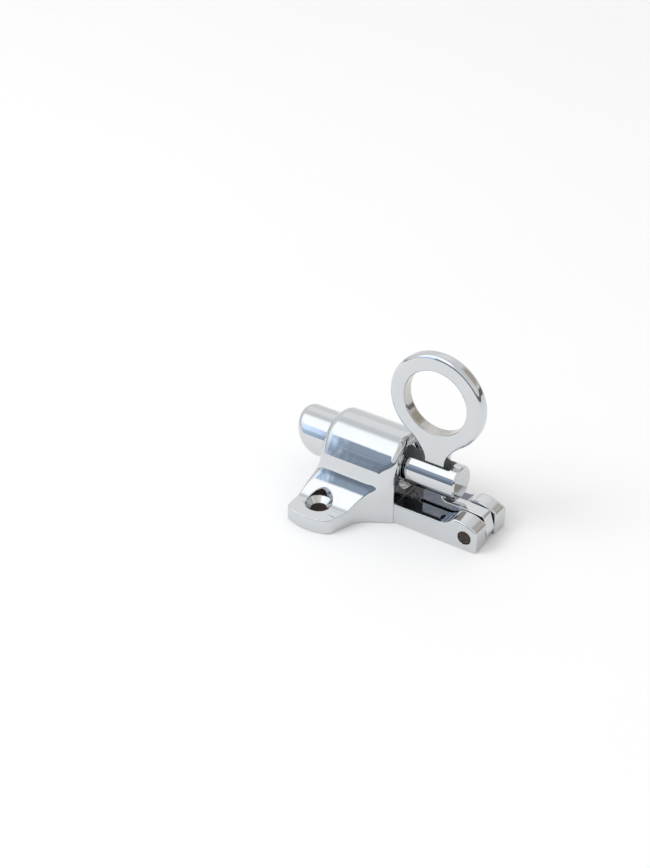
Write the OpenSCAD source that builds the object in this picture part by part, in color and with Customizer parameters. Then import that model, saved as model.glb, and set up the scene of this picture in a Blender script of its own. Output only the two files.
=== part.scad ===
// Fanlight catch: a spring bolt in a cast body, drawn back by a ring lever.
// +X runs along the bolt towards the ring, +Z is away from the mounting face,
// and the origin is on that face, midway between the two screw holes.
// All sizes are in millimetres.

/* [Barrel] */
// Height of the bolt's axis above the mounting face
axis_z = 14.6; // [13.5:0.1:17]
// Outer radius of the barrel's arch
barrel_r = 9.7; // [9.2:0.1:11.5]
// Distance from the front plane back to the screw holes
front_to_hole = 6.9; // [6:0.1:9]
// Length of the barrel from the front plane to its rear face
barrel_len = 25.4; // [25:0.1:32]
// How far the barrel's front stands back from the front of the lugs
front_back = 1.1; // [0.2:0.1:1.4]
// How far the lugs' front leans back where it rises to the barrel
lean = 1.6; // [0.4:0.1:2.4]
// Height above the lugs' flat top at which the lean starts
lean_from = 2.4; // [1:0.1:4]
// Rounding of the barrel's front edge
front_round = 2.6; // [1:0.1:2.6]
// Rounding of the barrel's rear edge
rear_round = 1.8; // [0.8:0.1:2.4]
// Thickness of the wall that closes the barrel behind the spring
rear_wall = 3; // [2.5:0.1:4]

/* [Lugs] */
// Distance between the centres of the two screw holes
hole_spacing = 36; // [34:0.5:42]
// Thickness of the lugs
lug_t = 4.4; // [3.5:0.1:5.5]
// Clearance hole for the screw
screw_d = 4.4; // [3:0.1:5]
// Mouth of the countersink
sink_d = 7.3; // [6.5:0.1:8.5]
// Distance from a screw hole's centre out to the lug's corners
lug_reach = 5.3; // [4.8:0.1:7]
// How far the lug's end bulges past its corners
tip_bulge = 1.7; // [0.8:0.1:2.5]
// Width of the lug's end, front to back
tip_w = 13.9; // [12:0.1:15]
// Radius of the hollow that sweeps from the lug up into the barrel's side
sweep_r = 8; // [6.5:0.1:8.5]
// Knee of the lug's rear edge, behind the front plane
knee_x = 17.3; // [16:0.1:19]
// Knee of the lug's rear edge, out from the barrel's side
knee_out = 4; // [2.5:0.1:5]
// Radius of the knee
knee_r = 8; // [4:0.5:9]
// Narrowing of the barrel's side at its rear corner, as seen from above
heel_in = 0.7; // [0.2:0.1:1.2]

/* [Tail] */
// Distance from the rear face of the barrel to the end of the tail
tail_len = 25.8; // [24:0.1:30]
// Width of the tail across its two cheeks
tail_w = 16.8; // [14:0.1:18]
// Height of the low deck on each cheek
deck_h = 6; // [5:0.1:6.6]
// Height of the raised block at the end of each cheek
block_h = 8.6; // [8:0.1:9]
// Length of the raised block along its top, with the rounded end
block_len = 7.7; // [6.5:0.1:8.6]
// Length of the slope between the deck and the block
ramp_len = 2.2; // [1:0.1:3]
// Flat part at the front of the block's top
block_flat = 1.5; // [0.5:0.1:3]
// How far the block's top falls away towards its rear end
block_fall = 2.1; // [1:0.1:3]
// Radius of the hollow corner where the cheeks leave the barrel
root_r = 1.2; // [0.4:0.1:1.8]

/* [Bolt] */
// Diameter of the bolt's nose
nose_d = 14; // [12:0.1:15]
// How far the middle of the nose's end stands out past the lugs at rest
throw = 8.8; // [8:0.1:10]
// Length of the nose inside the barrel at rest
nose_hold = 4.9; // [4.5:0.1:5.5]
// Slant of the nose's end, which leans in towards the mounting face
nose_slant = 23; // [10:1:30]
// Radius of the crowned end of the nose
crown_r = 24; // [15:1:60]
// Rounding between the crown and the side of the nose
nose_round = 2.3; // [1:0.1:3]
// Diameter of the tail of the bolt
tail_d = 10; // [8:0.1:10.2]
// How far the tail of the bolt stands out of the barrel at rest
tail_out = 16; // [15.8:0.1:17]
// Chamfer on the end of the tail of the bolt
tail_chamfer = 0.5; // [0.2:0.1:1]
// Solid end left behind the slot in the tail of the bolt
slot_end = 2.8; // [2.5:0.1:3]
// Length of the slot in the tail of the bolt
slot_len = 20.4; // [20:0.1:22]

/* [Ring lever] */
// Thickness of the lever
lever_t = 4; // [3:0.1:4.4]
// Outer radius of the ring
ring_r = 14.3; // [12.5:0.1:15]
// Radius of the hole in the ring
eye_r = 9.55; // [8:0.05:10.5]
// Height of the ring's centre above the mounting face
ring_z = 38; // [37.5:0.1:42]
// Distance from the ring's centre back to the pivot
ring_to_pivot = 14.7; // [14.2:0.1:15.2]
// Width of the stem that passes through the bolt
stem_w = 6.2; // [5:0.1:6.4]
// Distance from the stem's centre line back to the pivot
stem_to_pivot = 14; // [13.8:0.1:14.4]
// Radius of the hollows between the ring and the stem
neck_r = 4.4; // [3:0.1:5]
// Rounding of the ring's outer edges
rim_round = 1.3; // [0.5:0.1:1.4]
// Rounding of the edges of the hole in the ring
eye_round = 0.5; // [0.2:0.1:1]
// Height of the foot's top where it passes under the bolt
foot_h = 8.3; // [7.6:0.1:8.4]
// Height of the foot's top at its rear corner
heel_h = 8; // [7.4:0.1:8.2]
// Distance from the pivot back to the foot's rear corner
heel_back = 2.3; // [1.5:0.1:2.6]
// Radius of the foot's round underside about the pivot
knuckle_r = 3.5; // [3:0.1:3.6]
// Rounding of the stem's lower front corner
toe_r = 2.2; // [1.5:0.1:3]

/* [Pivot and spring] */
// Diameter of the pivot pin
pin_d = 4; // [3:0.1:4.4]
// Height of the pivot above the mounting face
pivot_z = 3.85; // [3.7:0.05:4.1]
// Distance from the end of the tail forward to the pivot
pivot_inset = 3.7; // [3.5:0.1:4.5]
// How far each end of the pin lies inside the cheek's face
pin_recess = 0.15; // [0:0.05:0.4]
// Wire of the spring
wire_d = 1; // [0.8:0.05:1.2]
// Working turns of the spring
turns = 4.5; // [3.5:0.5:5]

/* [Clearances] */
// Radial gap between the bolt and its two bores
slide_gap = 0.06; // [0.02:0.01:0.1]
// Radial gap between the pin and the lever
pivot_gap = 0.05; // [0.02:0.01:0.1]
// Gap on each side of the lever, in the tail and in the bolt
side_gap = 0.2; // [0.1:0.05:0.35]
// Gap between the stem and the front end of the tail's slot
stop_gap = 0.3; // [0.1:0.05:0.5]
// Gap between the spring and the wall of the barrel
coil_gap = 0.4; // [0.2:0.05:0.8]

/* [Hidden] */
$fn = 96;
eps = 0.01;

// Stations along X
front_x = -front_to_hole;
barrel_x = front_x + front_back;
rear_x = front_x + barrel_len;
tail_x = rear_x + tail_len;
pivot_x = tail_x - pivot_inset;
ring_x = pivot_x - ring_to_pivot;
stem_x = pivot_x - stem_to_pivot;
stem_front_x = stem_x - stem_w / 2;
stem_rear_x = stem_x + stem_w / 2;
wall_x = rear_x - rear_wall;
tip_x = front_x - throw - nose_d / 2;
shoulder_x = front_x + nose_hold;
bolt_end_x = rear_x + tail_out;
slot_rear_x = bolt_end_x - slot_end;
slot_front_x = slot_rear_x - slot_len;

// Widths across Y
hole_y = hole_spacing / 2;
tip_y = hole_y + lug_reach;
sweep_y = barrel_r + sweep_r;
slot_w = lever_t + 2 * side_gap;
cheek_y = tail_w / 2;

// Bores and the spring between them
bore_r = nose_d / 2 + slide_gap;
tail_bore_r = tail_d / 2 + slide_gap;
coil_r = bore_r - coil_gap - wire_d / 2;

// Runs its children along X, with the drawing's X across the part and its Y upwards
module along_x(from, to) {
    translate([from, 0, 0])
        rotate([90, 0, 90])
            linear_extrude(height = to - from)
                children();
}

// Turns a drawing of [radius, position along X] about the bolt's axis
module about_axis() {
    translate([0, 0, axis_z])
        rotate([0, 90, 0])
            rotate_extrude($fn = 128)
                children();
}

// Bar along X on the bolt's axis
module axis_bar(radius, from, to) {
    translate([from, 0, axis_z])
        rotate([0, 90, 0])
            cylinder(r = radius, h = to - from, $fn = 128);
}

// Bar along Y, centred on the middle plane
module cross_bar(x, z, radius, length) {
    translate([x, 0, z])
        rotate([90, 0, 0])
            cylinder(r = radius, h = length, center = true, $fn = 96);
}

// Half of the barrel's outline from above: a strip with its two outer corners rounded
module barrel_outline(half_w) {
    difference() {
        translate([0, barrel_x])
            square([half_w, rear_x - barrel_x]);
        rounded_away(half_w, barrel_x, front_round, -1);
        rounded_away(half_w, rear_x, rear_round, 1);
    }
}

// What a rounding of radius r takes off the corner at [across, station]
module rounded_away(across, station, r, side) {
    difference() {
        translate([across - r, side > 0 ? station - r : station - eps])
            square([r + eps, r + eps]);
        translate([across - r, station - side * r])
            circle(r = r);
    }
}

// The arched barrel, with its straight sides down to the mounting face
module barrel() {
    about_axis()
        barrel_outline(barrel_r);
    linear_extrude(height = axis_z)
        for (side = [0, 1])
            mirror([0, side, 0])
                rotate([0, 0, -90])
                    mirror([1, 0, 0])
                        barrel_outline(barrel_r);
}

// Front view of the lugs: a flat strip that sweeps up into the barrel's sides
module lug_section() {
    translate([-tip_y - tip_bulge, 0])
        square([2 * (tip_y + tip_bulge), lug_t]);
    difference() {
        translate([-sweep_y, 0])
            square([2 * sweep_y, lug_t + sweep_r]);
        for (side = [-1, 1])
            translate([side * sweep_y, lug_t + sweep_r])
                circle(r = sweep_r, $fn = 128);
    }
}

// What the leaning front takes off the lugs, between their flat part and the barrel
module front_lean() {
    low_z = lug_t + lean_from;
    high_z = lug_t + sweep_r;
    translate([0, sweep_y, 0])
        rotate([90, 0, 0])
            linear_extrude(height = 2 * sweep_y)
                polygon([
                    [front_x - 1, low_z], [front_x, low_z], [front_x + lean, high_z],
                    [front_x + lean, axis_z + 1], [front_x - 1, axis_z + 1]
                ]);
}

// Plan of one lug, on the side where Y is positive
module lug_plan() {
    knee = [front_x + knee_x, barrel_r + knee_out];
    corner = [front_x + tip_w, tip_y];
    heel = [rear_x, barrel_r - heel_in];
    tip_r = (tip_w * tip_w / 4 + tip_bulge * tip_bulge) / (2 * tip_bulge);
    polygon([[front_x, 0], [front_x, tip_y], corner, knee, heel, [rear_x, 0]]);
    intersection() {
        translate([front_x, hole_y])
            square([tip_w, lug_reach + tip_bulge]);
        translate([front_x + tip_w / 2, tip_y + tip_bulge - tip_r])
            circle(r = tip_r, $fn = 160);
    }
    knee_fill(corner, knee, heel);
}

// Hollow rounding of the knee between two straight edges
module knee_fill(from, knee, to) {
    u = (from - knee) / norm(from - knee);
    v = (to - knee) / norm(to - knee);
    half = acos(u * v) / 2;
    bisector = (u + v) / norm(u + v);
    reach = knee_r / tan(half);
    difference() {
        polygon([knee - bisector * 0.5, knee + u * reach, knee + v * reach]);
        translate(knee + bisector * knee_r / sin(half))
            circle(r = knee_r, $fn = 160);
    }
}

// Both lugs, cut to their plan
module lugs() {
    difference() {
        intersection() {
            along_x(front_x, rear_x)
                lug_section();
            plan_block(lug_t + sweep_r);
        }
        front_lean();
    }
}

// The whole plan of the body's front part, as a block
module plan_block(height) {
    linear_extrude(height = height)
        for (side = [0, 1])
            mirror([0, side, 0])
                lug_plan();
}

// Side view of the tail: low deck, slope, and the raised block with its falling top
module tail_side() {
    block_x = tail_x - block_len;
    arc_x = block_x + block_flat;
    arc_w = tail_x - arc_x;
    arc_r = (arc_w * arc_w + block_fall * block_fall) / (2 * block_fall);
    difference() {
        polygon([
            [wall_x, 0], [tail_x, 0], [tail_x, block_h], [block_x, block_h],
            [block_x - ramp_len, deck_h], [wall_x, deck_h]
        ]);
        difference() {
            translate([arc_x, block_h - block_fall - 1])
                square([arc_w + eps, block_fall + 1 + eps]);
            translate([arc_x, block_h - arc_r])
                circle(r = arc_r, $fn = 160);
        }
    }
}

// The tail's two cheeks before the slot is cut, with hollow corners at the barrel
module tail() {
    translate([0, cheek_y, 0])
        rotate([90, 0, 0])
            linear_extrude(height = tail_w)
                tail_side();
    linear_extrude(height = deck_h)
        for (side = [0, 1])
            mirror([0, side, 0])
                translate([rear_x, cheek_y])
                    difference() {
                        translate([-1, -1])
                            square(root_r + 1);
                        translate([root_r, root_r])
                            circle(r = root_r);
                        translate([-2, root_r - eps])
                            square([2, 2]);
                    }
}

// Countersunk screw hole
module screw_hole() {
    sink_h = (sink_d - screw_d) / 2;
    translate([0, 0, -1])
        cylinder(d = screw_d, h = lug_t + 2, $fn = 64);
    translate([0, 0, lug_t - sink_h])
        cylinder(d1 = screw_d, d2 = sink_d, h = sink_h, $fn = 64);
    translate([0, 0, lug_t - eps])
        cylinder(d = sink_d, h = axis_z, $fn = 64);
}

// Cast body: barrel, lugs and forked tail in one piece
module body() {
    color([0.82, 0.84, 0.87])
        difference() {
            union() {
                intersection() {
                    barrel();
                    plan_block(axis_z + barrel_r + 1);
                }
                lugs();
                tail();
            }
            axis_bar(bore_r, front_x - 1, wall_x);
            axis_bar(tail_bore_r, wall_x - 1, rear_x + 4);
            translate([stem_front_x - stop_gap, -slot_w / 2, -1])
                cube([tail_x, slot_w, block_h + 2]);
            cross_bar(pivot_x, pivot_z, pin_d / 2, tail_w + 2);
            for (side = [-1, 1])
                translate([0, side * hole_y, 0])
                    screw_hole();
        }
}

// Outline of the bolt behind its nose: shoulder and chamfered tail
module shank_outline() {
    polygon([
        [0, shoulder_x - 1], [tail_d / 2, shoulder_x - 1],
        [tail_d / 2, bolt_end_x - tail_chamfer],
        [tail_d / 2 - tail_chamfer, bolt_end_x], [0, bolt_end_x]
    ]);
}

// Outline of the nose's end, square to its own axis: flat crown and rounded rim
module end_outline(end_r) {
    rim_r = end_r - nose_round;
    crown_c = sqrt(pow(crown_r - nose_round, 2) - rim_r * rim_r);
    blend_r = rim_r * crown_r / (crown_r - nose_round);
    blend_x = crown_c - sqrt(crown_r * crown_r - blend_r * blend_r);
    intersection() {
        translate([0, crown_c])
            circle(r = crown_r, $fn = 240);
        translate([0, crown_c - crown_r + eps])
            square([blend_r, blend_x - crown_c + crown_r]);
    }
    intersection() {
        translate([rim_r, 0])
            circle(r = nose_round, $fn = 128);
        translate([rim_r, -nose_round - 1])
            square([nose_round + 1, nose_round + 1 + eps]);
    }
    polygon([[0, eps], [0, blend_x], [blend_r, blend_x], [rim_r, eps]]);
}

// Nose of the bolt: a round bar whose crowned end slants in towards the mounting face
module nose() {
    end_r = nose_d / 2 / cos(nose_slant) + 0.05;
    rim_r = end_r - nose_round;
    end_h = crown_r - sqrt(pow(crown_r - nose_round, 2) - rim_r * rim_r);
    intersection() {
        axis_bar(nose_d / 2, tip_x, shoulder_x);
        translate([front_x - throw + end_h, 0, axis_z])
            rotate([0, -nose_slant, 0])
                union() {
                    rotate([0, 90, 0])
                        rotate_extrude($fn = 128)
                            end_outline(end_r);
                    translate([0, -nose_d, -2 * nose_d])
                        cube([4 * nose_d, 2 * nose_d, 4 * nose_d]);
                }
    }
}

// Turned bolt, with the slot for the lever cut through its tail, square at the rear
module bolt() {
    end_r = slot_w / 2;
    color([0.80, 0.81, 0.84])
        difference() {
            union() {
                nose();
                about_axis()
                    shank_outline();
            }
            translate([slot_front_x + end_r, -end_r, axis_z - tail_d])
                cube([slot_len - end_r, slot_w, 2 * tail_d]);
            translate([slot_front_x + end_r, 0, axis_z - tail_d])
                cylinder(r = end_r, h = 2 * tail_d, $fn = 64);
        }
}

// Side view of the stem and the foot, down to the pivot
module lever_side() {
    sole_z = pivot_z - knuckle_r;
    heel_x = pivot_x + heel_back;
    difference() {
        translate([stem_front_x, sole_z])
            square([stem_w, ring_z - ring_r - sole_z + 2]);
        translate([stem_front_x - eps, sole_z - eps])
            square(toe_r);
    }
    translate([stem_front_x + toe_r, sole_z + toe_r])
        circle(r = toe_r);
    translate([pivot_x, pivot_z])
        circle(r = knuckle_r);
    polygon([
        [stem_x, sole_z], [pivot_x, sole_z], [pivot_x + knuckle_r, pivot_z],
        [pivot_x + knuckle_r * cos(12), pivot_z + knuckle_r * sin(12)],
        [heel_x, heel_h], [stem_rear_x + 3, foot_h], [stem_x, foot_h]
    ]);
    corner_fill(stem_rear_x, foot_h, 1.5);
}

// Hollow rounding where the stem meets the top of the foot
module corner_fill(x, z, r) {
    difference() {
        translate([x - eps, z - eps])
            square(r);
        translate([x + r, z + r])
            circle(r = r);
    }
}

// Side view of the neck, hollowed on both sides between the ring and the stem
module neck_side() {
    span = ring_r + neck_r;
    front_c = [stem_front_x - neck_r, ring_z - sqrt(span * span - pow(stem_front_x - neck_r - ring_x, 2))];
    rear_c = [stem_rear_x + neck_r, ring_z - sqrt(span * span - pow(stem_rear_x + neck_r - ring_x, 2))];
    centre = [ring_x, ring_z];
    front_t = centre + (front_c - centre) * ring_r / span;
    rear_t = centre + (rear_c - centre) * ring_r / span;
    difference() {
        polygon([
            centre + (front_t - centre) * 0.8, front_t, [stem_front_x, front_c[1]],
            [stem_rear_x, rear_c[1]], rear_t, centre + (rear_t - centre) * 0.8
        ]);
        translate(front_c)
            circle(r = neck_r);
        translate(rear_c)
            circle(r = neck_r);
        translate(centre)
            circle(r = eye_r + 1);
    }
}

// Section of the ring, with its four edges rounded
module ring_section() {
    width = ring_r - eye_r;
    half_t = lever_t / 2;
    for (side = [0, 1])
        mirror([0, side])
            difference() {
                translate([eye_r, -eps])
                    square([width, half_t + eps]);
                difference() {
                    translate([ring_r - rim_round, half_t - rim_round])
                        square(rim_round + eps);
                    translate([ring_r - rim_round, half_t - rim_round])
                        circle(r = rim_round, $fn = 48);
                }
                difference() {
                    translate([eye_r - eps, half_t - eye_round])
                        square(eye_round + eps);
                    translate([eye_r + eye_round, half_t - eye_round])
                        circle(r = eye_round, $fn = 32);
                }
            }
}

// Ring, stem and foot of the lever, cast as one flat piece
module ring_lever() {
    color([0.84, 0.85, 0.86])
        difference() {
            union() {
                translate([ring_x, 0, ring_z])
                    rotate([90, 0, 0])
                        rotate_extrude($fn = 160)
                            ring_section();
                translate([0, lever_t / 2, 0])
                    rotate([90, 0, 0])
                        linear_extrude(height = lever_t) {
                            lever_side();
                            neck_side();
                        }
            }
            cross_bar(pivot_x, pivot_z, pin_d / 2 + pivot_gap, lever_t + 2);
            cross_bar(ring_x, ring_z, eye_r, lever_t + 2);
        }
}

// Pivot pin, pressed through both cheeks
module pivot_pin() {
    color([0.30, 0.25, 0.23])
        cross_bar(pivot_x, pivot_z, pin_d / 2, tail_w - 2 * pin_recess);
}

// Place of the wire's centre after a given part of the winding, from 0 to 1
function coil_at(t) =
    let (
        length = wall_x - shoulder_x - wire_d,
        close = wire_d * 1.02,
        all_turns = turns + 2,
        n = t * all_turns,
        x = n < 1 ? n * close * 0.5
            : n > all_turns - 1 ? length - (all_turns - n) * close * 0.5
            : close * 0.5 + (n - 1) * (length - close) / turns,
        a = n * 360
    )
    [shoulder_x + wire_d / 2 + x, coil_r * cos(a), axis_z + coil_r * sin(a)];

// Compression spring between the bolt's shoulder and the rear wall
module spring() {
    sides = 8;
    steps = round((turns + 2) * 24);
    points = [
        for (i = [0 : steps])
            let (
                c = coil_at(i / steps),
                out = [0, cos(i / steps * (turns + 2) * 360), sin(i / steps * (turns + 2) * 360)]
            )
            for (k = [0 : sides - 1])
                c + wire_d / 2 * (out * cos(k * 360 / sides) + [1, 0, 0] * sin(k * 360 / sides))
    ];
    walls = [
        for (i = [0 : steps - 1])
            for (k = [0 : sides - 1])
                let (a = i * sides + k, b = i * sides + (k + 1) % sides)
                [a, a + sides, b + sides, b]
    ];
    first = [for (k = [0 : sides - 1]) k];
    last = [for (k = [sides - 1 : -1 : 0]) steps * sides + k];
    color([0.55, 0.56, 0.58])
        polyhedron(points = points, faces = concat(walls, [first, last]));
}

body();
bolt();
ring_lever();
pivot_pin();
spring();
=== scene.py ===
"""Fanlight catch: polished chrome castings, a spring bolt and a ring lever on a pale floor."""

import math

import bpy
import numpy as np
from bpy.props import FloatProperty, FloatVectorProperty, PointerProperty
from mathutils import Matrix, Vector


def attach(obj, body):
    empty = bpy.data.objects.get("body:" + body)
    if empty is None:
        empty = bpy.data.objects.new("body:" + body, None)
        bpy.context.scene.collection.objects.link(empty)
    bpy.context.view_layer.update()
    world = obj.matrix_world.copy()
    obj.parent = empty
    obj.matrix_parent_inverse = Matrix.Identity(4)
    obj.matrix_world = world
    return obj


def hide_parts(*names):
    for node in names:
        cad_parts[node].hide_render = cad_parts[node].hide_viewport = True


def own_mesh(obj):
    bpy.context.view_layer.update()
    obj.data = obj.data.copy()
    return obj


bl_info = {
    "name": "Fanlight Catch",
    "version": (1, 0, 0),
    "blender": (4, 5, 0),
    "location": "View3D > Sidebar > Catch",
    "description": "Builds a chrome fanlight catch round its packed frame",
    "category": "Object",
}

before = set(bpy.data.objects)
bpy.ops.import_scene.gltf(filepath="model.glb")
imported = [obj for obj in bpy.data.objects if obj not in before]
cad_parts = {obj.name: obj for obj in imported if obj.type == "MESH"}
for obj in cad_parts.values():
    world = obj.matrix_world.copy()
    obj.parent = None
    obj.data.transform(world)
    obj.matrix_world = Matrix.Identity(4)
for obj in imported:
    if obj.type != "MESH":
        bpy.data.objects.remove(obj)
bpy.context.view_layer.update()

MM = 0.001
# Stations of the catch in millimetres: X along the bolt, Y across the lugs, Z off the mounting face
AXIS_Z = 14.6  # the bolt's axis
PIVOT = (40.6, 3.85)  # the lever's pivot, X and Z
RING = (25.9, 38.0)  # the ring's centre, X and Z
STEM = (23.5, 29.7)  # front and rear of the lever's stem, X
FRONT_X = -6.94  # front of the casting
REAR_X = 18.5  # rear of the barrel and start of the tail
TAIL_X = 44.3  # end of the tail
WALL_X = 15.5  # inner face of the barrel's rear wall
SHOULDER_X = -2.0  # the bolt's shoulder, where the spring pushes
BOLT_X = 34.5  # end of the bolt's tail
HOLE_Y = 18.0  # screw holes, either side of the middle
CHEEK_Y = 8.4  # outer faces of the tail's cheeks
DECK_Z = 6.0  # deck between barrel and block
BLOCK_Z = 8.6  # top of the block that holds the pivot pin
COS_45 = 0.7071  # turns a chamfer's sum of two distances into a distance


# Properties


def length(name, text, value):
    """A size in metres, given in millimetres."""
    return FloatProperty(
        name=name, description=text, default=value * MM, min=0.0, max=0.2,
        precision=5, subtype="DISTANCE", unit="LENGTH",
    )


def share(name, text, value):
    """A plain number from nought to one."""
    return FloatProperty(name=name, description=text, default=value, min=0.0, max=1.0, precision=3)


def colour(name, text, value):
    """A linear colour."""
    return FloatVectorProperty(
        name=name, description=text, default=value, size=3, min=0.0, max=1.0, subtype="COLOR"
    )


class BodySizes(bpy.types.PropertyGroup):
    """Sizes of the cast body's visible skin."""

    barrel: length("Barrel Radius", "Outer radius of the barrel's arch", 9.7)
    front: length("Front Rounding", "Rounding of the barrel's front edge", 3.0)
    rear: length("Rear Rounding", "Rounding of the barrel's rear edge", 1.9)
    edge: length("Lug Edge", "Softness of the lugs' polished edges", 0.35)
    step: length("Grid Step", "Spacing of the grid that the skin is traced on", 0.3)


class BoltSizes(bpy.types.PropertyGroup):
    """Sizes of the turned bolt."""

    nose: length("Nose Radius", "Radius of the bolt's nose", 7.0)
    tail: length("Tail Radius", "Radius of the bolt's tail", 5.0)
    rim: length("Nose Rounding", "Rounding between the nose's end and its side", 2.4)
    chamfer: length("Tail Chamfer", "Width of the chamfer on the tail's end", 0.5)
    step: length("Grid Step", "Spacing of the grid that the skin is traced on", 0.27)


class LeverSizes(bpy.types.PropertyGroup):
    """Sizes of the cast ring lever."""

    ring: length("Ring Radius", "Outer radius of the ring", 14.3)
    eye: length("Eye Radius", "Radius of the hole in the ring", 9.55)
    half: length("Half Thickness", "Half of the lever's thickness", 2.0)
    rim: length("Rim Rounding", "Rounding of the ring's outer edges", 1.35)
    neck: length("Neck Radius", "Hollows between the ring and the stem", 4.4)
    step: length("Grid Step", "Spacing of the grid that the skin is traced on", 0.25)


class PinSizes(bpy.types.PropertyGroup):
    """Sizes of the pivot pin and the spring."""

    pin: length("Pin Radius", "Radius of the pivot pin", 2.0)
    reach: length("Pin Reach", "Half of the pin's length", 8.25)
    wire: length("Wire Radius", "Radius of the spring's wire", 0.5)
    coil: length("Coil Radius", "Radius of the spring's coils at the wire's centre", 6.16)


class Finishes(bpy.types.PropertyGroup):
    """Colours and gloss of the pieces."""

    chrome: colour("Chrome", "Colour of the plating", (0.66, 0.68, 0.695))
    raw: colour("Raw Metal", "Colour of the bare casting in the screw holes", (0.10, 0.075, 0.065))
    dark: colour("Pin End", "Colour of the unplated pin's ends", (0.045, 0.033, 0.028))
    steel: colour("Spring Steel", "Colour of the spring's wire", (0.42, 0.42, 0.43))
    gloss: share("Plating Roughness", "Roughness of the polished plating", 0.03)
    ripple: share("Casting Ripple", "Height of the faint ripple left by hand polishing", 0.35)


class StageSizes(bpy.types.PropertyGroup):
    """The floor, the surroundings and the camera."""

    floor: colour("Floor", "Colour of the floor", (0.96, 0.955, 0.95))
    panel: colour("Dark Surroundings", "Colour of the dark end of the room", (0.21, 0.255, 0.32))
    pale: colour("Pale Card", "Colour of the blue card beside the dark end", (0.55, 0.68, 0.86))
    eye: FloatVectorProperty(
        name="Camera", description="Place of the camera", size=3, subtype="XYZ", unit="LENGTH",
        default=(0.22078, -0.34904, 0.28634),
    )
    aim: FloatVectorProperty(
        name="Aim", description="Point that the camera looks at", size=3, subtype="XYZ",
        unit="LENGTH", default=(-0.0221, 0.01805, 0.0),
    )
    roll: FloatProperty(
        name="Roll", description="Turn of the camera about its view", subtype="ANGLE",
        unit="ROTATION", default=math.radians(0.656),
    )
    lens: FloatProperty(
        name="Lens", description="Focal length for a 36 mm long side", default=73.22, min=10.0,
        max=300.0, unit="CAMERA",
    )


# Solid arithmetic: distances in millimetres, negative inside


def meet(a, b, r):
    """Common part of two solids, with the edge between them rounded to radius r: the greater
    distance, and near the edge the length of how far both are past -r, less r."""
    return np.minimum(np.maximum(a, b), -r) + np.hypot(np.maximum(a + r, 0), np.maximum(b + r, 0))


def join(a, b, r):
    """Both solids, with the inner corner between them filled to radius r: the lesser distance, and
    near the corner r less the length of how far both fall short of r."""
    return np.maximum(np.minimum(a, b), r) - np.hypot(np.maximum(r - a, 0), np.maximum(r - b, 0))


def cut(a, b, r):
    """Solid a without solid b, with the edge rounded to radius r: a met by b turned inside out."""
    return meet(a, -b, r)


def ease(low, high, t):
    """0 below low, 1 above high, and 3u^2 - 2u^3 between them."""
    u = np.clip((t - low) / (high - low), 0, 1)
    return u * u * (3 - 2 * u)


def line(x, y, start, end):
    """Distance to the left of the line from start to end, by the cross product over the line's
    length; its right side is solid."""
    dx, dy = end[0] - start[0], end[1] - start[1]
    return ((y - start[1]) * dx - (x - start[0]) * dy) / math.hypot(dx, dy)


def hollow(x, y, start, knee, end, r):
    """Solid beside two lines that meet at a knee, with the knee filled by an arc of radius r: the
    nearer line's distance, and r less the distance to the arc's centre between its ends."""
    a, b, c = (np.array(point) for point in (start, knee, end))
    u, v = (a - b) / np.linalg.norm(a - b), (c - b) / np.linalg.norm(c - b)
    middle = (u + v) / np.linalg.norm(u + v)
    half = math.acos(float(u @ middle))
    centre, reach = b + middle * r / math.sin(half), r / math.tan(half)
    along_u = (x - b[0]) * u[0] + (y - b[1]) * u[1]
    along_v = (x - b[0]) * v[0] + (y - b[1]) * v[1]
    fill = (along_u < reach) & (along_v < reach) & (along_u + along_v > -reach)
    sides = np.minimum(line(x, y, start, knee), line(x, y, knee, end))
    return np.where(fill, r - np.hypot(x - centre[0], y - centre[1]), sides)


# Shapes of the pieces


def arch_side(w, z, r):
    """Barrel seen along the bolt: a top of radius r, flanks of a wider radius from 54 to 79
    degrees off the top, which run on in line with the top, and straight flanks below."""
    top, foot, wide = math.radians(54), math.radians(79), 14.0
    up = z - AXIS_Z
    # place measured from the centre of the wide arc
    out_w, out_z = w - (r - wide) * math.sin(top), up - (r - wide) * math.cos(top)
    flank = np.hypot(out_w, out_z) - wide
    straight = out_w * math.sin(foot) + out_z * math.cos(foot) - wide
    low = np.where(np.arctan2(out_w, out_z) > foot, straight, flank)
    return np.where(np.arctan2(w, up) < top, np.hypot(w, up) - r, low)


def lug_top(w, z):
    """Top of the lugs, by the way out from the barrel's flank: a height, plus a steep and a slow
    exponential that die away outwards, less a bell-shaped dish along the screw holes. The whole
    is divided by the length of its slope to make a distance."""
    flat, steep, steep_run, slow, slow_run = 4.0, 1.4, 0.75, 7.9, 4.6
    out = np.maximum(w, 10.4) - 10.85  # held level under the barrel
    near, far = steep * np.exp(-out / steep_run), slow * np.exp(-out / slow_run)
    dish = 0.7 * np.exp(-(((w - 17.6) / 2.8) ** 2))
    return (z - flat - near - far + dish) / np.sqrt(1 + (near / steep_run + far / slow_run) ** 2)


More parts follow.
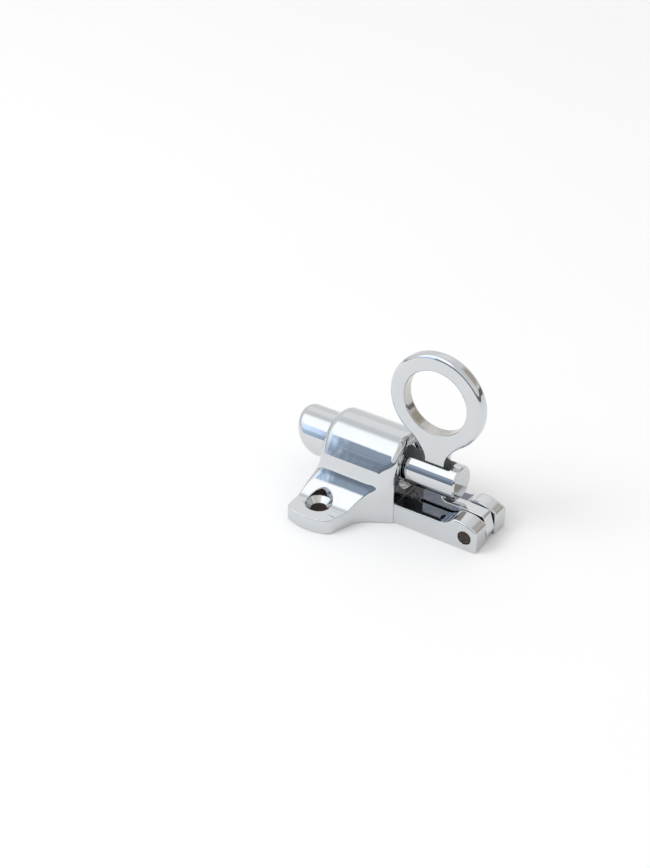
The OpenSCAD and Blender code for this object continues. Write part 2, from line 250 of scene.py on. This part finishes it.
def front_part(x, w, z, s):
    """Barrel and lugs: the arch joined to the curve of the lugs' top, then bounded by the front,
    the rear, the hollow sweep of the plan and the bowed tip. Edges are crisp at the lugs and grow
    rounder up the barrel."""
    section = join(arch_side(w, z, s.barrel / MM), lug_top(w, z), 0.8)
    soft = s.edge / MM
    rise = ease(4.6, 12.0, z)
    front = FRONT_X + 1.15 * ease(5.0, 13.0, z) - x
    solid = meet(section, front, soft + (s.front / MM - soft) * rise)
    high = ease(10.5, 15.5, z)
    solid = meet(solid, x - REAR_X, soft * 0.6 + (s.rear / MM - soft * 0.6) * high)
    # the tip is bowed by an arc about a point under the barrel
    tip = np.where(w > 15, np.hypot(x - 0.05, w - 9.94) - 15.06, -9.0)
    sweep = hollow(x, w, (7.0, 23.3), (10.4, 13.7), (REAR_X, 9.0), 8.0)
    return meet(solid, meet(sweep, tip, 0.7), soft * 0.9 + 1.1 * ease(9.5, 12.5, z))


def tail_part(x, y, z, end):
    """Tail: a deck, a ramp up from it, and the block whose top falls away to the rear on an arc,
    between the two cheeks. end is 0 on the deck and 1 on the block."""
    w = np.abs(y)
    fall_x, fall_z, fall_r = 38.1, -1.6, 10.2
    block = np.where(x < fall_x, z - BLOCK_Z, np.hypot(x - fall_x, z - fall_z) - fall_r)
    run, climb = 2.2, 2.6
    ramp = ((z - DECK_Z) * run - (x - 34.4) * climb) / math.hypot(climb, run)
    top = join(meet(block, ramp, 0.9), z - DECK_Z, 1.4)
    tail = meet(top, w - CHEEK_Y, 0.35 + end * np.where(y > 0, 1.5, 0.3))
    tail = meet(tail, x - TAIL_X, 0.55)
    return np.maximum(tail, WALL_X - x)


def body_shape(p, s):
    """Cast body: the barrel with its lugs joined to the tail on a flat mounting face, less the
    bolt's bores, the slot, the pin's hole and the countersunk screw holes."""
    x, y, z = p
    w = np.abs(y)
    end = ease(34.0, 36.5, x)
    solid = join(front_part(x, w, z, s), tail_part(x, y, z, end), 0.2)
    solid = meet(solid, -z, 0.2)
    reach = np.hypot(y, z - AXIS_Z)
    solid = cut(solid, meet(reach - 7.06, x - WALL_X, 0.2), 0.3)  # bore of the nose
    solid = cut(solid, np.maximum(reach - 5.06, 14.0 - x), 0.25)  # bore of the tail
    solid = cut(solid, meet(reach - 6.7, 16.9 - x, 0.3), 0.25)  # recess round the tail
    solid = cut(solid, np.maximum(w - 2.5, 23.2 - x), 0.22 + 0.35 * end)  # lever's slot
    solid = cut(solid, np.hypot(x - PIVOT[0], z - PIVOT[1]) - 2.02, 0.1)  # pin's hole
    hole, rim_r, rim_z = np.hypot(x, w - HOLE_Y), 3.65, 4.6
    sink = np.maximum((hole - rim_r - (z - rim_z)) * COS_45, hole - rim_r - 0.1)
    return cut(solid, np.minimum(hole - 2.2, sink), 0.14)


def bolt_shape(p, s):
    """Turned bolt: the nose is a bar met by a wide sphere that leans in towards the mounting face,
    the tail is a thinner bar with a chamfer, and the lever's slot is cut through it."""
    x, y, z = p
    reach = np.hypot(y, z - AXIS_Z)
    dome = np.sqrt((x - 6.63) ** 2 + y**2 + (z - 22.82) ** 2) - 24.0
    nose = meet(reach - s.nose / MM, dome, s.rim / MM)
    nose = meet(nose, x - SHOULDER_X, 0.3)
    side, end = reach - s.tail / MM, x - BOLT_X
    shank = np.maximum(side, end)
    shank = np.maximum(shank, (side + end + s.chamfer / MM) * COS_45)
    shank = np.maximum(shank, -6.0 - x)
    solid = join(nose, shank, 0.3)
    slot = meet(np.abs(y) - 2.42, np.abs(x - 21.5) - 10.2, 0.4)
    return cut(solid, slot, 0.2)


def lever_shape(p, s):
    """Ring lever: a flat outline, thickened across Y. The outline is the stem joined to the foot
    by a small hollow, and to the ring's disc by the two neck hollows. The foot has a slanted heel,
    a round knuckle under it and a round toe, and the ring's outer edges are rounder."""
    x, y, z = p
    front, rear = STEM
    sole = 0.35 - z
    ring = np.hypot(x - RING[0], z - RING[1])
    foot_top = z - 8.3 + 0.06 * np.maximum(x - 38.0, 0)
    outline = join(x - rear, foot_top, 1.5)
    outline = np.maximum(outline, front - x)
    heel = (x - 42.9) * 0.9607 + (z - 8.0) * 0.2778
    outline = meet(outline, heel, 0.7)
    outline = meet(outline, meet(sole, heel, 3.4), 0.05)
    outline = np.maximum(outline, meet(front - x, sole, 2.2))
    outline = np.maximum(outline, z - 37.0)
    outline = join(outline, ring - s.ring / MM, s.neck / MM)
    plain = 0.35
    rim = plain + (s.rim / MM - plain) * ease(22.5, 27.5, z) * ease(11.4, 12.6, ring)
    rim = np.where(ring < 11.4, 0.5, rim)
    solid = meet(outline, np.abs(y) - s.half / MM, rim)
    solid = cut(solid, ring - s.eye / MM, 0.55)
    return cut(solid, np.hypot(x - PIVOT[0], z - PIVOT[1]) - 2.05, 0.1)  # pin's hole


# Meshes


def gradient(shape, p, sizes, h=0.02):
    """Slope of the distance at each point, by central differences."""
    out = []
    for axis in range(3):
        step = np.zeros((3, 1))
        step[axis] = h
        out.append(shape(p + step, sizes) - shape(p - step, sizes))
    return np.array(out) / (2 * h)


def traced(shape, low, high, step, sizes):
    """Skin of a solid. Each cell of a grid with a change of sign gets a point, which is drawn onto
    the surface along the slope, and each grid edge with a change of sign gets the face between
    the points of its four cells. Returns points, normals and faces."""
    axes = [np.arange(a - step, b + 2 * step, step) for a, b in zip(low, high)]
    gx, gy, gz = np.meshgrid(*axes, indexing="ij")
    shape_of = gx.shape
    field = shape((gx, gy, gz), sizes)
    inside = field < 0
    corners = [
        inside[i : shape_of[0] - 1 + i, j : shape_of[1] - 1 + j, k : shape_of[2] - 1 + k]
        for i in (0, 1) for j in (0, 1) for k in (0, 1)
    ]
    count = sum(c.astype(np.int8) for c in corners)
    live = (count > 0) & (count < 8)
    index = np.full(live.shape, -1, np.int64)
    index[live] = np.arange(live.sum())
    cells = np.argwhere(live)
    if not len(cells):
        raise RuntimeError("the sizes leave no solid to trace")
    points = np.stack([axes[a][cells[:, a]] + step / 2 for a in range(3)])
    centre = points.copy()
    for _ in range(6):
        value = shape(points, sizes)
        slope = gradient(shape, points, sizes)
        size = np.maximum((slope**2).sum(0), 0.2)
        points = points - value * slope / size
        points = centre + np.clip(points - centre, -step * 0.95, step * 0.95)
    faces = []
    for axis in range(3):
        first = [slice(None)] * 3
        second = [slice(None)] * 3
        first[axis] = slice(0, -1)
        second[axis] = slice(1, None)
        change = inside[tuple(first)] != inside[tuple(second)]
        at = np.argwhere(change)
        b, c = [a for a in range(3) if a != axis]
        within_b = (at[:, b] > 0) & (at[:, b] < shape_of[b] - 1)
        within_c = (at[:, c] > 0) & (at[:, c] < shape_of[c] - 1)
        at = at[within_b & within_c]
        outward = inside[tuple(first)][tuple(at.T)]
        ring = []
        for db, dc in ((-1, -1), (0, -1), (0, 0), (-1, 0)):
            cell = at.copy()
            cell[:, b] += db
            cell[:, c] += dc
            ring.append(index[tuple(cell.T)])
        quad = np.stack(ring, 1)
        flip = outward != (axis != 1)
        quad[flip] = quad[flip][:, ::-1]
        faces.append(quad)
    normals = gradient(shape, points, sizes, 0.03)
    normals /= np.maximum(np.linalg.norm(normals, axis=0), 1e-9)
    return points.T, normals.T, np.concatenate(faces)


def mesh_object(name, points, faces, normals=None):
    """Makes an object from points in millimetres and faces of one size."""
    mesh = bpy.data.meshes.new(name)
    n, k = faces.shape
    mesh.vertices.add(len(points))
    mesh.vertices.foreach_set("co", (np.asarray(points) * MM).astype(np.float32).ravel())
    mesh.loops.add(n * k)
    mesh.loops.foreach_set("vertex_index", faces.astype(np.int32).ravel())
    mesh.polygons.add(n)
    mesh.polygons.foreach_set("loop_start", np.arange(0, n * k, k, dtype=np.int32))
    mesh.update(calc_edges=True)
    mesh.validate()
    mesh.shade_smooth()
    if normals is not None:
        mesh.normals_split_custom_set_from_vertices(normals.tolist())
    obj = bpy.data.objects.new(name, mesh)
    bpy.context.scene.collection.objects.link(obj)
    return obj


def ring_faces(rows, around):
    """Faces between neighbouring rows of a grid whose rows close on themselves."""
    i, k = np.meshgrid(np.arange(rows - 1), np.arange(around), indexing="ij")
    nxt = (k + 1) % around
    quads = [i * around + k, i * around + nxt, (i + 1) * around + nxt, (i + 1) * around + k]
    return np.stack(quads, -1).reshape(-1, 4)


def tube_grid(path, side, up, radius, around):
    """Round profile carried along a path: centre + radius * (side cos a + up sin a)."""
    a = np.linspace(0, 2 * np.pi, around, endpoint=False)
    rings = (
        path[:, None, :]
        + radius * np.cos(a)[None, :, None] * side[:, None, :]
        + radius * np.sin(a)[None, :, None] * up[:, None, :]
    )
    return rings.reshape(-1, 3), ring_faces(len(path), around)


# Shader helper


class Wire:
    """A shader socket with arithmetic. Each operator adds one Math node."""

    def __init__(self, tree, socket):
        self.tree, self.socket = tree, socket

    def node(self, kind, settings=None, **inputs):
        """Adds a node: settings first, then its sockets as values or wires, by name, or by number
        as i0, i1 and so on."""
        made = self.tree.nodes.new(kind)
        for key, value in (settings or {}).items():
            setattr(made, key, value)
        for key, value in inputs.items():
            numbered = key[0] == "i" and key[1:].isdigit()
            slot = made.inputs[int(key[1:]) if numbered else key]
            if isinstance(value, Wire):
                self.tree.links.new(value.socket, slot)
            else:
                slot.default_value = value
        return made

    def of(self, made, output=0):
        """Wire of one output of a node."""
        return Wire(self.tree, made.outputs[output])

    def math(self, operation, *values):
        """A Math node on values or wires."""
        sockets = {f"i{n}": v for n, v in enumerate(values)}
        return self.of(self.node("ShaderNodeMath", {"operation": operation}, **sockets))

    def __add__(self, other):
        return self.math("ADD", self, other)

    def __radd__(self, other):
        return self.math("ADD", other, self)

    def __sub__(self, other):
        return self.math("SUBTRACT", self, other)

    def __rsub__(self, other):
        return self.math("SUBTRACT", other, self)

    def __mul__(self, other):
        return self.math("MULTIPLY", self, other)

    def __rmul__(self, other):
        return self.math("MULTIPLY", other, self)

    def __pow__(self, other):
        return self.math("POWER", self, other)

    def __rpow__(self, other):
        return self.math("POWER", other, self)

    def away(self):
        """This value without its sign."""
        return self.math("ABSOLUTE", self)

    def smooth(self, low, high):
        """Smooth step of this value, 0 at low and 1 at high."""
        settings = {"interpolation_type": "SMOOTHSTEP"}
        return self.of(self.node("ShaderNodeMapRange", settings, i0=self, i1=low, i2=high))

    def noise(self, scale, detail, rough, stretch=None):
        """Noise at this place, from 0 to 1."""
        place = self
        if stretch:
            place = self.of(self.node("ShaderNodeMapping", None, Vector=self, Scale=stretch))
        made = self.node(
            "ShaderNodeTexNoise", None, Vector=place, Scale=scale, Detail=detail, Roughness=rough
        )
        return self.of(made)

    def blend(self, first, second):
        """Colour between first and second, by this share."""
        made = self.node("ShaderNodeMix", {"data_type": "RGBA"}, i0=self, i6=first, i7=second)
        return self.of(made, 2)

    def feed(self, shader, name):
        """Leads this wire to a shader's socket."""
        self.tree.links.new(self.socket, shader.inputs[name])


def rgba(value, level=1.0):
    """A colour at a level, with its alpha."""
    return (*(min(part * level, 1.0) for part in value), 1.0)


def surface(name):
    """A new material with a Principled shader, and a wire of the object's own coordinates."""
    material = bpy.data.materials.new(name)
    material.use_nodes = True
    tree = material.node_tree
    shader = tree.nodes["Principled BSDF"]
    place = tree.nodes.new("ShaderNodeTexCoord")
    return material, shader, Wire(tree, place.outputs["Object"])


def raised(place, height, strength, distance):
    """Bump from a height wire."""
    made = place.node(
        "ShaderNodeBump", None, Strength=strength, Distance=distance, Height=height
    )
    return place.of(made)


def axes_of(place):
    """The three coordinates of a place, as wires."""
    made = place.node("ShaderNodeSeparateXYZ", None, Vector=place)
    return [place.of(made, k) for k in range(3)]


def in_holes(place):
    """1 inside the bare screw holes of the body."""
    x, y, z = axes_of(place)
    out = y.away() - HOLE_Y * MM
    radius = ((x * x) + (out * out)) ** 0.5
    return (1.0 - radius.smooth(0.0022, 0.0024)) * (1.0 - z.smooth(0.0034, 0.0037))


def deck_shade_painted(place):
    """1 on the deck between the cheeks and in the slot below it, the recess under the bolt and the
    lever where shade falls; this mask places painted shade.
    """
    x, y, z = axes_of(place)
    out = y.away()
    deck = (1.0 - out.smooth(0.0076, 0.0080)) * (1.0 - z.smooth(0.0064, 0.0070))
    deck = deck * (1.0 - x.smooth(0.0342, 0.0352))
    slot = (1.0 - out.smooth(0.00245, 0.0026)) * z.smooth(0.0, 0.0002)
    return place.math("MAXIMUM", deck, slot) * x.smooth(0.0183, 0.0186)


def in_slot(place):
    """1 on the sawn walls of the bolt's slot."""
    x, y, _ = axes_of(place)
    along = x.smooth(0.0112, 0.0114) * (1.0 - x.smooth(0.0316, 0.0318))
    return (1.0 - y.away().smooth(0.00243, 0.00247)) * along


def in_eye(place):
    """1 on the inner wall of the lever's ring, which is left as cast."""
    x, _, z = axes_of(place)
    across, up = x - RING[0] * MM, z - RING[1] * MM
    radius = ((across * across) + (up * up)) ** 0.5
    return 1.0 - radius.smooth(0.0097, 0.00995)


def chrome(name, looks, ripple, grain, bare, tint, rough, metal=1.0, wave=0.0, painted_shade=None):
    """Polished plating: a faint ripple from hand polishing, and in the gloss a fine haze with
    wisps stretched by grain. The part that the bare mask names has its own tint, more roughness,
    less metal and a coarse wave. The part that the shade mask names is painted in shade: a dark
    blue-grey colour with a little more roughness."""
    material, shader, place = surface(name)
    haze = place.noise(900.0, 4.0, 0.6)
    swirl = place.noise(120.0, 2.0, 0.5)
    wisp = place.noise(2600.0, 2.0, 0.5, stretch=grain)
    tone = (swirl * 0.6 + haze * 0.4).smooth(0.3, 0.7)
    base = tone.blend(rgba(looks.chrome, 0.97), rgba(looks.chrome))
    gloss = looks.gloss + haze * 0.015 + wisp.smooth(0.6, 0.85) * 0.02
    height = place.noise(150.0, 1.0, 0.4) * 0.75 + place.noise(420.0, 1.0, 0.4) * 0.25
    height = height * (ripple * looks.ripple)
    if painted_shade:
        # painted shade: the shaded deck and slot are darkened to blue-grey and made a little
        # rougher
        shade_share = painted_shade(place)
        base = shade_share.blend(base, (0.20, 0.205, 0.23, 1.0))
        gloss = gloss + shade_share * 0.06
    inside = bare(place)
    own = place.noise(3000.0, 3.0, 0.7).blend(rgba(tint, 0.6), rgba(tint, 1.5))
    base = inside.blend(base, own)
    gloss = gloss + inside * rough
    if wave:
        height = height + inside * place.noise(700.0, 2.0, 0.5) * wave
    if metal < 1.0:
        (1.0 - inside * (1.0 - metal)).feed(shader, "Metallic")
    else:
        shader.inputs["Metallic"].default_value = 1.0
    base.feed(shader, "Base Color")
    gloss.feed(shader, "Roughness")
    raised(place, height, 0.6, 0.0002).feed(shader, "Normal")
    return material


def dark_pin(looks):
    """Unplated pin: dark brown oxide with speckles, rough, only partly metallic."""
    material, shader, place = surface("Dark Pin")
    speck = place.noise(5200.0, 3.0, 0.7)
    patch = place.noise(1400.0, 3.0, 0.6)
    base = speck.smooth(0.42, 0.7).blend(rgba(looks.dark, 0.5), rgba(looks.dark, 2.6))
    base = patch.smooth(0.55, 0.75).blend(base, rgba(looks.dark, 4.0))
    base.feed(shader, "Base Color")
    (0.42 + patch * 0.3).feed(shader, "Roughness")
    shader.inputs["Metallic"].default_value = 0.5
    raised(place, speck * 0.6 + patch * 0.4, 0.5, 0.00006).feed(shader, "Normal")
    return material


def spring_steel(looks):
    """Drawn wire: grey steel with fine streaks in colour and gloss."""
    material, shader, place = surface("Spring Steel")
    streak = place.noise(2400.0, 3.0, 0.6)
    streak.blend(rgba(looks.steel, 0.7), rgba(looks.steel, 1.2)).feed(shader, "Base Color")
    (0.25 + streak * 0.2).feed(shader, "Roughness")
    shader.inputs["Metallic"].default_value = 1.0
    raised(place, streak, 0.3, 0.00003).feed(shader, "Normal")
    return material


# Operators


class CATCH_OT_body(bpy.types.Operator):
    """Traces the cast body: barrel, lugs and forked tail in one polished skin"""

    bl_idname = "catch.body"
    bl_label = "Cast Body"

    def execute(self, context):
        sizes = context.scene.catch_body
        looks = context.scene.catch_looks
        points, normals, faces = traced(
            body_shape, (-7.0, -25.0, 0.0), (44.4, 25.0, 24.4), sizes.step / MM, sizes
        )
        obj = mesh_object("Cast_Body", points, faces, normals)
        obj.data.materials.append(chrome(
            "Plated Casting", looks, ripple=1.0, grain=(1.0, 0.2, 0.2),
            # the deck and the slot under the bolt get painted shade
            bare=in_holes, tint=looks.raw, rough=0.4, metal=0.45, painted_shade=deck_shade_painted,
        ))
        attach(obj, "body")
        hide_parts("body")
        return {"FINISHED"}


class CATCH_OT_bolt(bpy.types.Operator):
    """Traces the turned bolt with its slanted nose and slotted tail"""

    bl_idname = "catch.bolt"
    bl_label = "Spring Bolt"

    def execute(self, context):
        sizes = context.scene.catch_bolt
        looks = context.scene.catch_looks
        points, normals, faces = traced(
            bolt_shape, (-19.4, -7.1, 7.5), (34.6, 7.1, 21.7), sizes.step / MM, sizes
        )
        obj = mesh_object("Spring_Bolt", points, faces, normals)
        obj.data.materials.append(chrome(
            "Plated Bar", looks, ripple=0.3, grain=(6.0, 0.15, 0.15),
            bare=in_slot, tint=(0.56, 0.565, 0.58), rough=0.4, metal=0.35,
        ))
        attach(obj, "bolt")
        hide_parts("bolt")
        return {"FINISHED"}


class CATCH_OT_lever(bpy.types.Operator):
    """Traces the ring lever: ring, neck, stem and foot"""

    bl_idname = "catch.lever"
    bl_label = "Ring Lever"

    def execute(self, context):
        sizes = context.scene.catch_lever
        looks = context.scene.catch_looks
        points, normals, faces = traced(
            lever_shape, (11.5, -2.1, 0.3), (44.3, 2.1, 52.4), sizes.step / MM, sizes
        )
        obj = mesh_object("Ring_Lever", points, faces, normals)
        obj.data.materials.append(chrome(
            "Plated Lever", looks, ripple=0.8, grain=(0.3, 1.0, 0.3),
            bare=in_eye, tint=(0.54, 0.53, 0.51), rough=0.10, wave=0.5,
        ))
        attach(obj, "ring_lever")
        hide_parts("ring_lever")
        return {"FINISHED"}


class CATCH_OT_pin(bpy.types.Operator):
    """Makes the pivot pin with its slightly domed dark ends"""

    bl_idname = "catch.pin"
    bl_label = "Pivot Pin"

    def execute(self, context):
        sizes = context.scene.catch_pin
        looks = context.scene.catch_looks
        radius, reach = sizes.pin / MM, sizes.reach / MM
        around = 64
        # profile of [radius, place along Y]: an end that domes by the square of the radius, a
        # small edge, the side, and the same mirrored, turned about the pivot
        t = np.linspace(0, 1, 9)
        dome = np.stack([t * (radius - 0.15), reach - 0.12 * t**2], 1)
        half = np.vstack([dome, [[radius, reach - 0.3]]])
        profile = np.vstack([half, half[::-1] * [1, -1]])
        a = np.linspace(0, 2 * np.pi, around, endpoint=False)
        ring, along = profile[:, 0], profile[:, 1]
        x = PIVOT[0] + ring[:, None] * np.cos(a)
        z = PIVOT[1] + ring[:, None] * np.sin(a)
        y = np.repeat(along[:, None], around, 1)
        points = np.stack([x, y, z], -1).reshape(-1, 3)
        obj = mesh_object("Pivot_Pin", points, ring_faces(len(profile), around)[:, ::-1])
        obj.data.materials.append(dark_pin(looks))
        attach(obj, "body")
        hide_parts("pivot_pin")
        return {"FINISHED"}


class CATCH_OT_spring(bpy.types.Operator):
    """Winds the compression spring between the bolt's shoulder and the inner face of the barrel's
    rear wall, with closed end turns
    """

    bl_idname = "catch.spring"
    bl_label = "Spring"

    def execute(self, context):
        sizes = context.scene.catch_pin
        looks = context.scene.catch_looks
        wire, coil = sizes.wire / MM, sizes.coil / MM
        turns, span, close = 4.5, WALL_X - SHOULDER_X - 2 * wire, 1.02 * 2 * wire
        n = np.linspace(0, turns + 2, int((turns + 2) * 40))
        # place along the axis: half a wire per turn at both ends, evenly pitched between them
        middle = close * 0.5 + (n - 1) * (span - close) / turns
        last = span - (turns + 2 - n) * close * 0.5
        x = np.where(n < 1, n * close * 0.5, np.where(n > turns + 1, last, middle))
        a = n * 2 * np.pi
        path = np.stack(
            [SHOULDER_X + wire + x, coil * np.cos(a), AXIS_Z + coil * np.sin(a)], 1
        )
        out = np.stack([0 * a, np.cos(a), np.sin(a)], 1)
        along = np.tile([1.0, 0.0, 0.0], (len(a), 1))
        points, faces = tube_grid(path, out, along, wire, 14)
        obj = mesh_object("Spring", points, faces)
        obj.data.materials.append(spring_steel(looks))
        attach(obj, "body")
        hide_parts("spring")
        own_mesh(obj)
        return {"FINISHED"}


class CATCH_OT_stage(bpy.types.Operator):
    """Sets the pale floor, the soft room light and the camera"""

    bl_idname = "catch.stage"
    bl_label = "Stage"

    def execute(self, context):
        stage = context.scene.catch_stage
        bpy.ops.mesh.primitive_plane_add(size=8.0, location=(0, 0, 0))
        floor = context.object
        floor.name = "Floor"
        self.floor_material(floor, stage)
        self.room(context, stage)
        self.lamps(context)
        self.camera(context, stage)
        return {"FINISHED"}

    def floor_material(self, floor, stage):
        """Matt paper-white floor with a barely visible mottle."""
        material, shader, place = surface("Paper Floor")
        mottle = place.noise(14.0, 2.0, 0.5)
        mottle.blend(rgba(stage.floor, 0.985), rgba(stage.floor)).feed(shader, "Base Color")
        shader.inputs["Roughness"].default_value = 0.7
        shader.inputs["Specular IOR Level"].default_value = 0.1
        floor.data.materials.append(material)

    def room(self, context, stage):
        """Light tent: pale all round, with a soft box high on the left, a dark end of the room low
        on the near side, and a few pale grey and warm cards. The camera itself sees white."""
        world = bpy.data.worlds.new("Light Tent")
        context.scene.world = world
        world.use_nodes = True
        tree = world.node_tree
        tree.nodes.clear()
        coord = tree.nodes.new("ShaderNodeTexCoord")
        place = Wire(tree, coord.outputs["Generated"])
        x, y, z = axes_of(place)
        near, left = y * -1.0, x * -1.0
        level = 0.88 - z.smooth(-0.2, 0.5) * 0.035
        seen = level.blend((0.0, 0.0, 0.0, 1.0), (1.0, 1.0, 1.0, 1.0))
        # soft cards: direction, cosines of their outer and inner edge, colour
        cards = (
            ((0.05, 0.12, 0.99), 0.74, 0.95, (0.78, 0.80, 0.83)),
            ((-0.33, 0.60, 0.73), 0.93, 0.985, (1.0, 1.0, 1.0)),
            ((0.50, 0.66, 0.54), 0.91, 0.97, (0.50, 0.45, 0.39)),
            ((0.62, -0.20, 0.76), 0.95, 0.985, (0.74, 0.68, 0.60)),
        )
        for (a, b, c), outer, inner, tint in cards:
            seen = (x * a + y * b + z * c).smooth(outer, inner).blend(seen, rgba(tint))
        # the dark end of the room: its top falls to the right, and it is paler to the left
        top = (x + 0.44) * -0.35 + 0.585
        dark = near.smooth(0.3, 0.5) * (1.0 - (z - top).smooth(-0.035, 0.035))
        dark = dark * (1.0 - left.smooth(0.60, 0.80))
        swirl = place.noise(7.0, 3.0, 0.55, stretch=(1.0, 1.0, 3.0)).smooth(0.52, 0.66)
        murk = swirl.blend(rgba(stage.panel), rgba(stage.panel, 1.35))
        seen = dark.blend(seen, left.smooth(0.448, 0.472).blend(murk, rgba(stage.pale)))
        # a dark skirting on the right, and a grey one on the left
        skirt = z.smooth(-0.10, -0.04) * (1.0 - z.smooth(0.14, 0.22)) * x.smooth(0.35, 0.55)
        seen = skirt.blend(seen, (0.17, 0.17, 0.175, 1.0))
        edge = z.smooth(-0.12, -0.05) * (1.0 - z.smooth(0.04, 0.14)) * left.smooth(0.78, 0.88)
        seen = (edge * 0.8).blend(seen, (0.3, 0.31, 0.33, 1.0))
        # the soft box is brighter than white
        box = (x * -0.45 + near * 0.52 + z * 0.73).smooth(0.80, 0.92)
        path = tree.nodes.new("ShaderNodeLightPath")
        plain = Wire(tree, path.outputs["Is Camera Ray"])
        seen = plain.blend(seen, (1.0, 1.0, 1.0, 1.0))
        shader = place.node("ShaderNodeBackground", None, Color=seen, Strength=1.0 + box * 0.75)
        out = tree.nodes.new("ShaderNodeOutputWorld")
        tree.links.new(shader.outputs[0], out.inputs["Surface"])

    def lamps(self, context):
        """One broad soft lamp high on the left of the near side, which throws the soft shadow. The
        plating shows the soft box of the tent in its place."""
        data = bpy.data.lights.new("Soft Lamp", "AREA")
        data.shape = "DISK"
        data.size = 0.45
        data.energy = 2.2
        lamp = bpy.data.objects.new("Soft Lamp", data)
        lamp.location = (-0.42, -0.48, 0.70)
        lamp.visible_glossy = False
        lamp.rotation_mode = "QUATERNION"
        lamp.rotation_quaternion = (-Vector(lamp.location)).to_track_quat("-Z", "Y")
        context.scene.collection.objects.link(lamp)

    def camera(self, context, stage):
        """Camera at the photograph's place: looks at the aim, then rolled about its own view."""
        data = bpy.data.cameras.new("Camera")
        data.sensor_width = 36.0
        data.lens = stage.lens
        data.clip_start, data.clip_end = 0.01, 20.0
        cam = bpy.data.objects.new("Camera", data)
        eye, aim = Vector(stage.eye), Vector(stage.aim)
        turn = (aim - eye).to_track_quat("-Z", "Y").to_matrix().to_4x4()
        cam.matrix_world = Matrix.Translation(eye) @ turn @ Matrix.Rotation(stage.roll, 4, "Z")
        context.scene.collection.objects.link(cam)
        context.scene.camera = cam
        context.scene.view_settings.view_transform = "Standard"


class CATCH_PT_panel(bpy.types.Panel):
    """Lists the pieces' sizes and the buttons that build them"""

    bl_idname = "CATCH_PT_panel"
    bl_label = "Fanlight Catch"
    bl_space_type = "VIEW_3D"
    bl_region_type = "UI"
    bl_category = "Catch"

    def draw(self, context):
        for group, buttons in GROUPS:
            box = self.layout.box()
            values = getattr(context.scene, group)
            for key in values.bl_rna.properties.keys():
                if key not in ("rna_type", "name"):
                    box.prop(values, key)
            for button in buttons:
                box.operator(button)


PROPERTIES = {
    "catch_body": BodySizes,
    "catch_bolt": BoltSizes,
    "catch_lever": LeverSizes,
    "catch_pin": PinSizes,
    "catch_looks": Finishes,
    "catch_stage": StageSizes,
}
GROUPS = (
    ("catch_body", ("catch.body",)),
    ("catch_bolt", ("catch.bolt",)),
    ("catch_lever", ("catch.lever",)),
    ("catch_pin", ("catch.pin", "catch.spring")),
    ("catch_looks", ()),
    ("catch_stage", ("catch.stage",)),
)
OPERATORS = (
    CATCH_OT_body, CATCH_OT_bolt, CATCH_OT_lever, CATCH_OT_pin, CATCH_OT_spring, CATCH_OT_stage,
)


def register():
    """Adds the sizes to the scene, then the operators and the panel."""
    for group in PROPERTIES.values():
        bpy.utils.register_class(group)
    for name, group in PROPERTIES.items():
        setattr(bpy.types.Scene, name, PointerProperty(type=group))
    for operator in OPERATORS:
        bpy.utils.register_class(operator)
    bpy.utils.register_class(CATCH_PT_panel)


def unregister():
    """Takes away what register adds, in the opposite order."""
    bpy.utils.unregister_class(CATCH_PT_panel)
    for operator in reversed(OPERATORS):
        bpy.utils.unregister_class(operator)
    for name, group in PROPERTIES.items():
        delattr(bpy.types.Scene, name)
        bpy.utils.unregister_class(group)


def main():
    """Builds the pieces and the stage."""
    register()
    bpy.ops.catch.body()
    bpy.ops.catch.bolt()
    bpy.ops.catch.lever()
    bpy.ops.catch.pin()
    bpy.ops.catch.spring()
    bpy.ops.catch.stage()
    bpy.context.view_layer.update()


if __name__ == "__main__":
    main()
